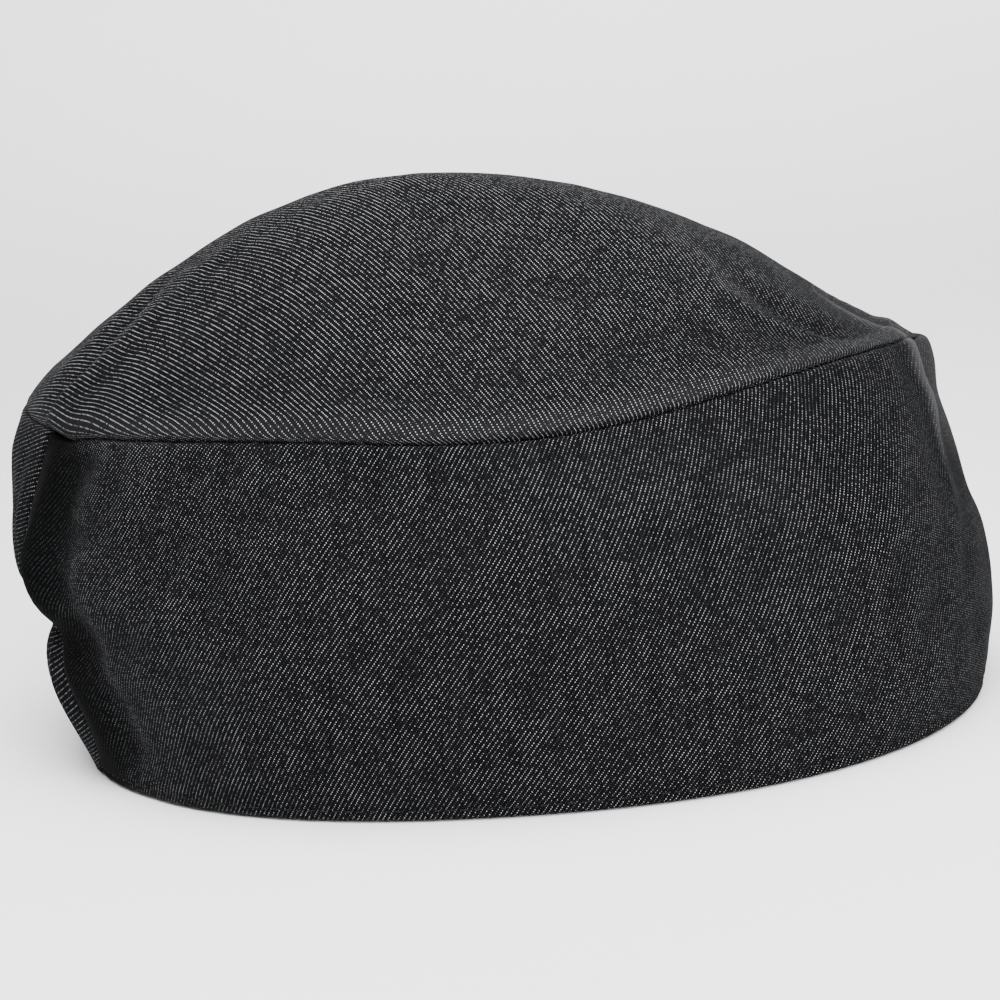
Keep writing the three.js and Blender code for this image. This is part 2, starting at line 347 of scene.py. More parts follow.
def wall_profile(turn_up):
    """Rows of a wall panel from the top of its turn-up, round the fold, up the wall and over the
    curl to the foot of its turned-in edge: heights, depths, and the mm along the cloth."""
    turned_up = [(height, 2 * FOLD + extra) for height, extra in turn_up]
    half_turn = [math.pi * i / 6 for i in range(7)]
    fold = [(FOLD - FOLD * math.sin(t), FOLD + FOLD * math.cos(t)) for t in half_turn]
    low = [(height, 0) for height in (1.7, HEM_ROW, 3.1, 3.9, 4.8, 6.0)]
    shoulder = SEAM_HEIGHT - CURL
    middle = [(height, 0) for height in evenly(7.5, shoulder - 1, STEP)]
    curl = [(shoulder + CURL * rise, CURL * depth) for rise, depth in quarter_turn(6)]
    inside = [(SEAM_HEIGHT - 0.3, (CURL + BAND_FLAP_DEPTH) / 2)]
    flap_heights = evenly(SEAM_HEIGHT - 1.5, SEAM_HEIGHT - ALLOWANCE, 2.8)
    inside += [(height, BAND_FLAP_DEPTH) for height in flap_heights]
    profile = np.array(turned_up + fold + low + middle + curl + inside)
    walked = lengths_along(profile)
    first = len(turned_up)  # the row where the fold begins
    last = len(profile) - len(inside)  # one past the curl
    return profile[:, 0], profile[:, 1], walked - walked[first], first, last


def wall_columns(start, end, step):
    """Columns of a wall panel from one back seam to the other, with each end curled in and folded
    back: angles, depths, the mm along the cloth, and how many columns each flap has."""
    angles, along = circle_angles(start, end, step)
    degrees_per_mm = (angles[1] - angles[0]) / (along[1] - along[0])
    keep = (along > SIDE_CURL * 1.6) & (along < along[-1] - SIDE_CURL * 1.6)
    # The flap and then the curl: distances in from the seam, depths, and the mm along the cloth.
    flap = [(inset, SIDE_CURL + 0.4) for inset in (8, 5.5, 3, 0.6)]
    curl = [(0.05 + SIDE_CURL * (1 - rise), SIDE_CURL * depth) for rise, depth in quarter_turn(5)]
    insets, edge_depths = np.array(flap + curl[::-1]).T
    cloth = np.array([-8.5, -6, -3.5, -1.2, -0.9, -0.5, 0, 0.5, 1.0, 1.5])
    head = start + degrees_per_mm * insets
    tail = end - degrees_per_mm * insets[::-1]
    all_angles = np.r_[head, angles[keep], tail]
    depths = np.r_[edge_depths, np.zeros(keep.sum()), edge_depths[::-1]]
    cloth_along = np.r_[cloth, along[keep], along[-1] - cloth[::-1]]
    return all_angles, depths, cloth_along, len(flap)


class Panel:
    """A settled wall panel: its grid of points, the angles and heights that they were laid at, its
    faces, its cloth's own mm, and the rows from the hem's fold to the top of the wall."""

    def __init__(self, points, angles, heights, first, last, faces, cloth):
        self.points, self.normals = points, grid_normals(points)
        self.angles, self.heights, self.first, self.last = angles, heights, first, last
        self.faces, self.cloth = faces, cloth
        rows, inner = slice(first + 3, last - 6), slice(SIDE_COLUMNS, len(angles) - SIDE_COLUMNS)
        angle, height = np.meshgrid(angles[inner], heights[rows])
        out = ((points[rows, inner] - wall(angle, height)) * outward(wall, angle, height)).sum(-1)
        self.flat_angles, self.flat_heights, self.relief = angles[inner], heights[rows], out

    def relief_at(self, angles, heights):
        """How far the settled cloth stands out from the plain wall."""
        row = np.interp(heights, self.flat_heights, np.arange(len(self.flat_heights)))
        column = np.interp(angles, self.flat_angles, np.arange(len(self.flat_angles)))
        r = np.minimum(row.astype(int), len(self.flat_heights) - 2)
        c = np.minimum(column.astype(int), len(self.flat_angles) - 2)
        return between(self.relief, r, c, row - r, column - c)

    def at(self, angles, heights, depth=0.0):
        """Points at depth below the outside face, for angles and heights on the wall, and the
        face's normals there."""
        rows = np.arange(self.first + 3, self.last - 2)
        inner = np.arange(SIDE_COLUMNS, len(self.angles) - SIDE_COLUMNS)
        row = np.interp(heights, self.heights[rows], rows)
        column = np.interp(angles, self.angles[inner], inner)
        row, column = np.broadcast_arrays(row, column)
        r, c = np.floor(row).astype(int), np.floor(column).astype(int)
        shares = (row - r)[..., None], (column - c)[..., None]
        normals = unit(between(self.normals, r, c, *shares))
        points = between(self.points, r, c, *shares)
        return points - normals * np.asarray(depth)[..., None], normals


def between(grid, r, c, up, along):
    """Values between a grid's rows r and r + 1 and columns c and c + 1, at shares up and along."""
    low = grid[r, c] * (1 - along) + grid[r, c + 1] * along
    high = grid[r + 1, c] * (1 - along) + grid[r + 1, c + 1] * along
    return low * (1 - up) + high * up


def lay_wall(start, end, step, turn_up, relief, slack, bending, notch_hold=0.0):
    """Lays out one wall panel and settles it. The cloth is held in its place at its edges, and by
    notch_hold more than elsewhere along the notch."""
    heights, depths, cloth_up, first, last = wall_profile(turn_up)
    angles, side_depths, cloth_along, flap = wall_columns(start, end, step)
    angle, height = np.meshgrid(angles, heights)
    normal = outward(wall, angle, np.clip(height, 0.1, SEAM_HEIGHT - 0.1))
    depth = np.maximum(depths[:, None], 0) + side_depths[None, :]
    points = wall(angle, height) + normal * (relief(angle, height) - depth)[..., None]

    rows, columns = angle.shape
    r, c = np.arange(rows)[:, None], np.arange(columns)[None]
    held = (r < first + 7) | (r >= last - 3) | (c < flap + 5) | (c >= columns - flap - 5)
    hold = np.where(held, 1.0, 0.4 + notch_hold * bell(height - NOTCH_HEIGHT, 3))
    faces = grid_faces(rows, columns)
    points = settle(points.reshape(-1, 3), faces, hold.ravel(), slack, bending).reshape(points.shape)

    # No flap where a turned-in edge and a side edge would cross.
    in_flap = (c < flap) | (c >= columns - flap - 1)
    above = (r >= last - 1) | (r < first + 3)
    wanted = ~(in_flap & above)[:-1, :-1]
    cloth = np.meshgrid(cloth_along, cloth_up)
    return Panel(points, angles, heights, first, last, faces[wanted.ravel()], cloth)


def turned(u, v, degrees):
    """Cloth coordinates turned so that the cloth's grain lies at an angle."""
    a = math.radians(degrees)
    return np.stack([u * math.cos(a) + v * math.sin(a), v * math.cos(a) - u * math.sin(a)], -1)


FOREHEAD_CREASES = ((260.3, 1.0), (282, 0.8))  # where each is on the crown seam, and how strong


def crease_distance(angle, height, centre):
    """Millimetres round the wall from a crease that leans away from the middle of the forehead."""
    lean = 0.145 * (SEAM_HEIGHT - height) * np.sign(centre - 270)
    return round_wall(angle - centre) - lean


def band_relief(angle, height):
    """The folds and waves of the band, in mm outwards."""
    x = round_wall(angle)
    from_seam = round_wall(from_nape(angle) - BACK_SEAM)
    inside = ramp(from_seam, 0, 5) * ramp(height, 3, 8)
    inside = inside * np.clip((SEAM_HEIGHT - height) / 5, 0, 1)
    # The rounded edge along the back seam, and the hollow in front of it.
    out = 1.5 * bell(from_seam - 4, 4) * (1 - 0.8 * bell(height - 14, 14)) * inside
    out += 2.2 * bell(from_seam - 5, 5.5) * bell(height - 48, 10) * inside
    out -= 1.9 * bell(from_seam - 12 - 0.05 * (60 - height), 5.5) * inside
    out -= 1.5 * bell(from_seam - 20, 9) * bell(height - 22, 16)
    out += 0.8 * waves(x, height, 46, seed=3) * inside
    out += 0.22 * waves(x, height, 15, seed=5) * inside
    # The creases at the forehead, where the cap is folded flat, with a hollow beside each.
    upper = ramp(height, 40, 26)
    for centre, size in FOREHEAD_CREASES:
        from_crease = crease_distance(angle, height, centre)
        out += size * 2.3 / (1 + (from_crease / 1.9) ** 2) ** 1.5 * upper
        out -= size * 1.3 * bell(from_crease + np.sign(centre - 270) * 7, 4.5) * upper
    # The middle of the forehead is proud at the seam and flatter below it.
    out += 2.4 * bell(x - round_wall(270), 9) * bell(height - SEAM_HEIGHT + 3, 6)
    out -= 2.6 * bell(angle - 270, 22) * bell(height - 46, 26)
    # Puckers under the crown seam, and the groove and puckers of the hem's stitching.
    pucker = np.cos(2 * np.pi * x / 9.5 + 2.5 * waves(x, 0 * x, 60, seed=8))
    out += 0.16 * pucker * bell(height - SEAM_HEIGHT + 5, 5)
    out -= 0.3 * bell(height - HEM_ROW, 0.8)
    out += 0.12 * np.cos(2 * np.pi * x / 5.6 + 2 * waves(x, 0 * x, 30, seed=9)) * bell(height - 4, 3)
    return out


def nape_relief(angle, height):
    """The blousing of the back panel over the elastic, and its gathers."""
    x = round_wall(angle - 90)
    half = round_wall(BACK_SEAM)
    to_seam = half - np.abs(x)
    inside = np.clip(to_seam / 6, 0, 1)
    over_notch = height - NOTCH_HEIGHT
    blouse = 1.5 * bell(over_notch - 19, 17) * inside
    channel = 0.3 * bell(height - 17, 9) * inside
    ruffle = np.cos(2 * np.pi * (to_seam - 4.6) / 9.2 + 0.9 * waves(x, 0 * x, 34, seed=21))
    crest = bell(to_seam - 4.6, 3.2) * bell(height - 17, 12)
    above = np.exp(-np.clip(over_notch, 0, None) / 13)
    below = 0.45 + 0.55 * bell(over_notch, 9)
    size = np.where(height > NOTCH_HEIGHT, above, below) * np.clip(height / 9, 0.15, 1)
    folds = 0.95 * ruffle * size * inside + crest * np.clip(to_seam / 3, 0, 1)
    groove = 0.5 * bell(over_notch, 1.0)
    broad = 0.5 * waves(x, height, 34, seed=22) * np.clip((SEAM_HEIGHT - height) / 8, 0, 1)
    out = blouse + channel + folds - groove + broad * inside
    return out * np.clip((SEAM_HEIGHT - height) / 4, 0, 1)


# ---- How the wall's cloth lies on it ----


def band_grain(panel):
    """The warp stands upright though the wall leans back, and the weft climbs a little. The grain
    stays straight where the back seams lean."""
    angle, height = np.meshgrid(panel.angles, np.clip(panel.heights, 0, SEAM_HEIGHT))
    u, v = panel.cloth
    u = u + round_wall(true_angle(angle, height) - angle)
    lean = WARP_LEAN * np.cos(np.radians(panel.angles)) - WARP_SKEW
    return np.stack([u + lean * v, v - u * math.tan(math.radians(WEFT_CLIMB))], -1)


def nape_grain(panel):
    """The cut is wider at the hem, where the elastic gathers it, most of all near its ends."""
    u, v = panel.cloth
    half = (u.max() - u.min()) / 2
    x = u - u.min() - half
    gathered = 0.42 * (x - 0.95 * half / np.pi * np.sin(np.pi * x / half))
    return turned(x + gathered * np.clip((56 - v) / 24, 0, 1), v, NAPE_GRAIN)


def band_painted_shade(angles):
    """How much of the weft shows, with painted shade taking it down: to little beside the back seams,
    and less at the middle of the forehead.
    """
    away = from_nape(angles)
    seams = 0.75 * np.exp(-(((away - BACK_SEAM) / 8.5) ** 4)) + 0.2 * bell(away - BACK_SEAM, 32)
    return 1 - seams - 0.5 * bell(away - 180, 38)


def band_wear_and_sheen(angle, height):
    """How far the dark face is rubbed off along the forehead's creases, with painted sheen on them
    too, and painted sheen a little between them.
    """
    lines = sum(bell(crease_distance(angle, height, c), 1.0) for c, _ in FOREHEAD_CREASES)
    return (1.1 * lines + 0.4 * bell(angle - 271, 9)) * ramp(height, 50, 12)


def panel_piece(name, panel, uv, fade_and_shade, wear_and_sheen):
    """A settled panel as a mesh, with what the denim reads: how it bulges, how much weft shows,
    lowered in places as painted shade, and how far its face is rubbed off, together with painted
    sheen."""
    ridge = bends(panel.points, panel.normals)
    attributes = {"ridge": ridge, "fade_and_shade": fade_and_shade + 0 * ridge, "wear_and_sheen": wear_and_sheen + 0 * ridge}
    points = panel.points.reshape(-1, 3)
    return make_mesh(name, points, panel.faces, uv=uv.reshape(-1, 2), attributes=attributes)


def build_band():
    turn_up = [(height, 0) for height in (TURN_UP, 7, 5, 3)]
    panel = lay_wall(RIGHT_SEAM, LEFT_SEAM, STEP, turn_up, band_relief, slack=1.003, bending=2.0)
    wear_and_sheen = band_wear_and_sheen(*np.meshgrid(panel.angles, panel.heights))
    piece = panel_piece("band_cloth", panel, band_grain(panel), band_painted_shade(panel.angles), wear_and_sheen)
    place(piece, "front_band", denim_face)
    thicken(piece, CLOTH, denim_back)
    return panel, piece


def build_nape():
    """The back panel. Its turn-up is the elastic's channel, sewn to it along the notch."""
    channel = [(NOTCH_HEIGHT + above, 0.1) for above in (2, 0, -2)]
    channel += [(NOTCH_HEIGHT - 4, 0.5), (NOTCH_HEIGHT - 6, 1.0)]
    channel += [(height, CHANNEL_DEPTH) for height in (26, 23.5, 21, 18, 15, 12, 9, 6.5, 4.5)]
    channel += [(2.8, 0.8)]
    cloth = {"slack": 1.004, "bending": 1.0, "notch_hold": 0.6}
    panel = lay_wall(NAPE_LEFT_SEAM, RIGHT_SEAM, NAPE_STEP, channel, nape_relief, **cloth)
    piece = panel_piece("nape_cloth", panel, nape_grain(panel), fade_and_shade=0.9, wear_and_sheen=0.0)
    place(piece, "back_panel", denim_face)
    thicken(piece, CLOTH, denim_back)
    return panel, piece


# ---- The crown ----

RINGS = 46
CROWN_PALENESS = 1.55  # its weft shows more than the band's
CROWN_EDGES = (0, 0.45, 0.9, 1.4, 2.0, 2.7, 3.6, 4.8, 6.2, 8.0)  # mm in from the seam
FRONT_RIDGE = ((14.5, -97), (9, -86), (4, -76))  # up from each side of the forehead


def crown_shares():
    """The share of the way out for each ring, close together near the seam."""
    near = 1 - np.array(CROWN_EDGES[::-1]) / CROWN_SLOPE
    return np.r_[np.linspace(0, near[0], RINGS + 2 - len(near))[:-1], near]


def crown_lattice():
    """A square lattice laid on the dome: for each point, its ring and its angle."""
    line = np.arange(-RINGS, RINGS + 1)
    a, b = np.meshgrid(line, line)
    ring = np.maximum(np.abs(a), np.abs(b))
    # Along each side of the square the angle runs evenly with the oval's length.
    turns = np.arange(8 * 100 + 1) / (8 * 100)
    walked = lengths_along(dome(turns * 360, np.ones(turns.shape)))
    walked /= walked[-1]
    side = np.select(
        [a == ring, b == ring, a == -ring, b == -ring],
        [b / 8, 2 * ring / 8 - a / 8, 4 * ring / 8 - b / 8, 6 * ring / 8 + a / 8],
    )
    part = (side / np.maximum(ring, 1)) % 1
    return ring, np.interp(part, walked, turns * 360)


def crown_relief(x, y, angle, inset):
    """The folds and waves of the crown, in mm outwards. inset is the distance in from the seam."""
    inside = ramp(inset, 1, 7)
    out = 0.8 * waves(x, y, 52, seed=31) * inside + 0.16 * waves(x, y, 14, seed=32) * inside
    # Ridges run up and in from the tops of the two back seams, with a flat between them.
    ridge = [(35.5, 90), (32, 82), (29.5, 73), (24, 64), (15, 52)]
    behind = [(27, 95), (21, 83), (8, 66)]
    hollow = [(56, 68), (50, 52), (44, 34)]
    for side, size in ((-1, 1.0), (1, 0.85)):
        out += size * 2.4 * crease(x, y, mirrored(ridge, side), 4.5) * ramp(inset, 0, 2)
        out -= size * 2.4 * crease(x, y, mirrored(behind, side), 5.0) * ramp(inset, 0, 3)
        out -= size * 1.2 * crease(x, y, mirrored(hollow, side), 8.0) * inside
    out += 0.6 * bell(x, 27) * bell(y - 76, 12) * ramp(inset, 2, 12)
    out += 1.3 * bell(x, 40) * bell(y + 38, 30)
    # The front falls away more steeply, down to a neat seam.
    out -= 3.6 * bell(angle - 270, 32) * bell(inset - 10, 13) * ramp(inset, 0, 5)
    # A hollow with a raised lip runs down to the seam on each side of the forehead.
    dip = [(24, -86), (26, -75), (25.5, -63), (20, -51)]
    lip = [(30.5, -85), (33, -74), (33, -62), (29, -51)]
    for side, size in ((-1, 1.0), (1, 0.8)):
        out -= size * 2.6 * crease(x, y, mirrored(dip, side), 5.0) * inside
        out += size * 1.5 * crease(x, y, mirrored(lip, side), 2.4) * inside
        out += size * 1.3 * crease(x, y, mirrored(FRONT_RIDGE, side), 3.0) * ramp(inset, 0, 3)
    return out


def crown_wear_and_sheen(x, y, inset):
    """How far the dark face is rubbed off on the lip over the seam and on the front's two ridges, with
    painted sheen on them too.
    """
    lines = sum(crease(x, y, mirrored(FRONT_RIDGE, side), 1.6) for side in (-1, 1))
    return 0.12 * bell(inset - 2.2, 1.5) + 0.8 * lines


def crown_edge(angle, inset):
    """How the crown puffs out over its seam: mm outwards, mm down and mm inwards."""
    loose = 0.55 + 0.45 * np.cos(np.radians(angle - 140))  # fullest towards the wearer's right back
    ripple = 1 + 0.5 * np.sin(7 * np.radians(angle) + 1.3 * np.sin(3 * np.radians(angle)))
    t = inset / 3.2
    neat = 1 - 0.85 * bell(from_nape(angle), 18) - 0.75 * bell(from_nape(angle) - 180, 35)
    puff = (1.1 + 0.9 * loose * ripple) * neat * t * np.exp(1 - t)
    droop = (0.5 + 0.9 * loose * ripple) * neat * bell(inset - 1.6, 1.3)
    curl = CROWN_CURL * (1 - np.sin(np.pi / 2 * np.clip(inset / 1.8, 0, 1)))
    return puff, droop, curl


def build_crown():
    """The crown, settled, with its turned-in edge."""
    ring, angle = crown_lattice()
    share = crown_shares()[ring]
    flat = dome(angle, share)
    plan_x, plan_y = flat[..., 0], flat[..., 1]
    normal = outward(dome, angle, np.clip(share, 0.03, 0.995), 0.02)
    normal *= np.sign(normal[..., 2:3])
    normal = np.where((share < 0.05)[..., None], np.array([0, 0, 1.0]), normal)
    inset = (1 - share) * CROWN_SLOPE
    puff, droop, curl = crown_edge(angle, inset)
    points = flat + normal * (crown_relief(plan_x, plan_y, angle, inset) + puff)[..., None]
    points += inward(angle) * curl[..., None]
    points[..., 2] -= droop
    faces = grid_faces(*ring.shape)
    hold = np.select([inset < 1.7, inset < 7, inset < 14], [1.0, 0.6, 0.5], 0.4)
    settled = settle(points.reshape(-1, 3), faces, hold.ravel(), 1.006, bending=1.5)
    points = settled.reshape(points.shape)
    normals = grid_normals(points)
    if normals[RINGS, RINGS, 2] < 0:
        normals, faces = -normals, faces[:, ::-1]

    # The cloth's own coordinates: straight out from the top, as far as the dome's slope is long,
    # and a little further over the puffed edge.
    stretch = 1 + 0.11 * share**2
    stretch = stretch + 2.4 * np.exp(-inset / 3.0) / CROWN_SLOPE
    uv = turned(plan_x * stretch, (plan_y - plan_y[RINGS, RINGS]) * stretch, CROWN_GRAIN)

    verts, uvs = points.reshape(-1, 3), uv.reshape(-1, 2)
    rim = rim_order(ring)
    rim_angles = angle.ravel()[rim]
    flap_verts, flap_uvs, flap_faces = crown_flap(verts, uvs, rim, rim_angles)
    ridge = np.clip(bends(points, normals) + 0.35 * bell(inset - 2.5, 1.8), -1, 1)
    # The crown's weft shows more than the band's, and is dimmed towards the front as painted shade.
    fade_and_shade = CROWN_PALENESS * (1 - 0.42 * bell(plan_y + 85, 60))
    on_flap = np.ones(len(flap_verts))
    piece = make_mesh(
        "crown_cloth",
        np.vstack([verts, flap_verts]),
        [*faces, *flap_faces],
        uv=np.vstack([uvs, flap_uvs]),
        attributes={
            "ridge": np.r_[ridge.ravel(), 0 * on_flap],
            "wear_and_sheen": np.r_[crown_wear_and_sheen(plan_x, plan_y, inset).ravel(), 0 * on_flap],
            "fade_and_shade": np.r_[fade_and_shade.ravel(), CROWN_PALENESS * on_flap],
        },
    )
    place(piece, "crown_panel", denim_face)
    thicken(piece, CLOTH, denim_back)
    return piece


def rim_order(ring):
    """The lattice's outermost points, in order round the cap."""
    size = ring.shape[0]
    index = np.arange(size * size).reshape(size, size)
    to_corner, along_top = index[RINGS:-1, -1], index[-1, :0:-1]
    down, along_foot, back_up = index[:0:-1, 0], index[0, :-1], index[:RINGS, -1]
    return np.concatenate([to_corner, along_top, down, along_foot, back_up])


def crown_flap(verts, uvs, rim, angles):
    """The crown's turned-in edge, hanging inside from its seam."""
    count = len(rim)
    drops = (1.2, 4.0, 7.0, ALLOWANCE)
    deeper = inward(angles) * (CROWN_FLAP_DEPTH - CROWN_CURL)
    rows = [verts[rim] + deeper - np.array([0, 0, drop]) for drop in drops]
    away = unit(uvs[rim])
    row_uvs = [uvs[rim] + away * drop for drop in drops]
    start = len(verts)
    loops = [rim] + [start + level * count + np.arange(count) for level in range(len(drops))]
    faces = []
    for above, below in zip(loops, loops[1:]):
        faces += zip(above, below, np.roll(below, -1), np.roll(above, -1))
    return np.vstack(rows), np.vstack(row_uvs), faces


# ---- Strips, tapes and stitches ----

TAPE = 0.35  # thickness of the binding
SEAM_INSET = 1.6  # degrees from a back seam to the end of a row or of the elastic
LABEL_WIDTH = 24.0
STITCH_RINGS, STITCH_SIDES = 6, 6  # points along and round a stitch


def strip(name, points, u, v):
    """A strip of cloth from a grid of points, with its own mm along and across."""
    uv = np.stack(np.meshgrid(u, v), -1).reshape(-1, 2)
    return make_mesh(name, points.reshape(-1, 3), grid_faces(*points.shape[:2]), uv=uv)


def stitches(name, starts, ends, normals, radius=0.2, lift=0.18):
    """A row of separate stitches. Each rises out of the cloth at its start and sinks in at its end."""
    t = np.linspace(0, 1, STITCH_RINGS)
    around = np.linspace(0, 2 * np.pi, STITCH_SIDES, endpoint=False)
    along = unit(ends - starts)
    side = unit(np.cross(normals, along))
    up = np.cross(along, side)
    height = lift * np.sin(np.pi * t) ** 0.5 - 0.25 * (1 - np.sin(np.pi * t))
    centres = starts[:, None] + (ends - starts)[:, None] * t[None, :, None]
    centres = centres + normals[:, None] * height[None, :, None]
    thick = radius * (0.55 + 0.45 * np.sin(np.pi * t))
    offset = side[:, None, None] * np.cos(around)[None, None, :, None]
    offset = offset + up[:, None, None] * np.sin(around)[None, None, :, None] * 0.8
    points = centres[:, :, None] + offset * thick[None, :, None, None]

    corner = np.arange(STITCH_RINGS * STITCH_SIDES).reshape(STITCH_RINGS, STITCH_SIDES)
    beside = np.roll(corner, -1, axis=1)
    tube = np.stack([corner[:-1], beside[:-1], beside[1:], corner[1:]], -1).reshape(-1, 4)
    one = [*tube, corner[0, ::-1], corner[-1]]
    faces = [face + k * corner.size for k in range(len(starts)) for face in one]
    walked = np.broadcast_to(t[None, :, None] * 2.4, points.shape[:3])
    turn = np.broadcast_to(around[None, None] / 6, points.shape[:3])
    uv = np.stack([turn, walked], -1).reshape(-1, 2)
    return make_mesh(name, points.reshape(-1, 3), faces, uv=uv)


def stitch_spots(points, normals, pitch=2.7, share=0.82):
    """Where stitches pitch mm apart along a line of points start and end, and their normals."""
    walked = lengths_along(points)
    count = int(walked[-1] / pitch)
    begin = (np.arange(count) + 0.5 * (1 - share)) * pitch

    def line(at, values):
        return np.stack([np.interp(at, walked, values[:, k]) for k in range(3)], -1)

    middle_normals = unit(line(begin + share * pitch / 2, normals))
    return line(begin, points), line(begin + share * pitch, points), middle_normals


# ---- Materials ----

END, PICK = 0.302, 0.39  # spacing of the warp and weft threads
TWILL_ANGLE = math.degrees(math.atan2(PICK, END))
# How far the grain is turned, so that the twill's lines lie at 43 and 22 degrees.
CROWN_GRAIN, NAPE_GRAIN = 43 - TWILL_ANGLE, 22 - TWILL_ANGLE
WARP_LEAN, WARP_SKEW = 0.10, 0.055  # mm aside for each mm up
WEFT_CLIMB = 5.0  # degrees


class Shader:
    """A material, whose nodes are made with plain calls."""

    def __init__(self, name):
        self.material = bpy.data.materials.new(name)
        self.material.use_nodes = True
        self.tree = self.material.node_tree
        self.tree.nodes.clear()
        self.surface = self.node("ShaderNodeBsdfPrincipled")
        output = self.node("ShaderNodeOutputMaterial")
        self.feed(output.inputs["Surface"], self.surface.outputs[0])

    def node(self, kind, **settings):
        made = self.tree.nodes.new(kind)
        for key, value in settings.items():
            setattr(made, key, value)
        return made

    def feed(self, socket, value):
        if isinstance(value, bpy.types.NodeSocket):
            self.tree.links.new(value, socket)
        else:
            socket.default_value = value

    def fed(self, kind, values, **settings):
        """The first output of a node whose inputs are fed in order."""
        made = self.node(kind, **settings)
        for socket, value in zip(made.inputs, values):
            self.feed(socket, value)
        return made.outputs[0]

    def math(self, operation, *values, clamp=False):
        return self.fed("ShaderNodeMath", values, operation=operation, use_clamp=clamp)

    def times(self, first, *others, clamp=False):
        """Everything multiplied together; only the whole product is clamped."""
        for value in others[:-1]:
            first = self.math("MULTIPLY", first, value)
        return self.math("MULTIPLY", first, others[-1], clamp=clamp)

    def plus(self, first, *others):
        for value in others:
            first = self.math("ADD", first, value)
        return first

    def over(self, value, divisor):
        return self.math("DIVIDE", value, divisor)

    def sine(self, value, factor):
        return self.math("SINE", self.math("MULTIPLY", value, factor))

    def smooth(self, value, low, high, to_low=0.0, to_high=1.0):
        values = (value, low, high, to_low, to_high)
        return self.fed("ShaderNodeMapRange", values, interpolation_type="SMOOTHSTEP")

    def blend(self, factor, first, second):
        made = self.node("ShaderNodeMix", data_type="RGBA")
        self.feed(made.inputs["Factor"], factor)
        self.feed(made.inputs["A"], first)
        self.feed(made.inputs["B"], second)
        return made.outputs["Result"]

    def cloth(self):
        """The cloth's own coordinates, in mm."""
        parts = self.node("ShaderNodeSeparateXYZ")
        self.feed(parts.inputs[0], self.node("ShaderNodeUVMap", uv_map="cloth_mm").outputs[0])
        return parts.outputs[0], parts.outputs[1]

    def pair(self, x, y):
        return self.fed("ShaderNodeCombineXYZ", (x, y))

    def noise(self, x, y, size, detail=2.0):
        """Noise between 0 and 1, with features of about size mm."""
        made = self.node("ShaderNodeTexNoise")
        self.feed(made.inputs["Vector"], self.pair(x, y))
        self.feed(made.inputs["Scale"], 1.0 / size)
        self.feed(made.inputs["Detail"], detail)
        return made.outputs[0]

    def chance(self, x, y):
        """A random number for each whole x and y."""
        made = self.node("ShaderNodeTexWhiteNoise", noise_dimensions="2D")
        self.feed(made.inputs["Vector"], self.pair(x, y))
        return made.outputs[0]

    def attribute(self, name):
        return self.node("ShaderNodeAttribute", attribute_name=name).outputs["Fac"]

    def finish(self, colour, roughness, sheen=0.0, height=None, depth=0.0, gloss=0.25):
        """Gives the surface its colour and finish. height is bumped up by depth metres."""
        inputs = self.surface.inputs
        self.feed(inputs["Base Color"], colour)
        inputs["Roughness"].default_value = roughness
        inputs["Specular IOR Level"].default_value = gloss
        inputs["Sheen Weight"].default_value = sheen
        inputs["Sheen Roughness"].default_value = 0.45
        if height is not None:
            bump = self.node("ShaderNodeBump")
            bump.inputs["Distance"].default_value = depth
            bump.inputs["Strength"].default_value = 1.0
            self.feed(bump.inputs["Height"], height)
            self.feed(inputs["Normal"], bump.outputs[0])
        return self.material


def grey(level, blue=1.04):
    return (level, level, level * blue, 1.0)


# Pale grey of denim whose dark face is worn off, also painted on as sheen.
WORN_AND_SHEEN_GREY = grey(0.06)  # denim whose dark face is worn off


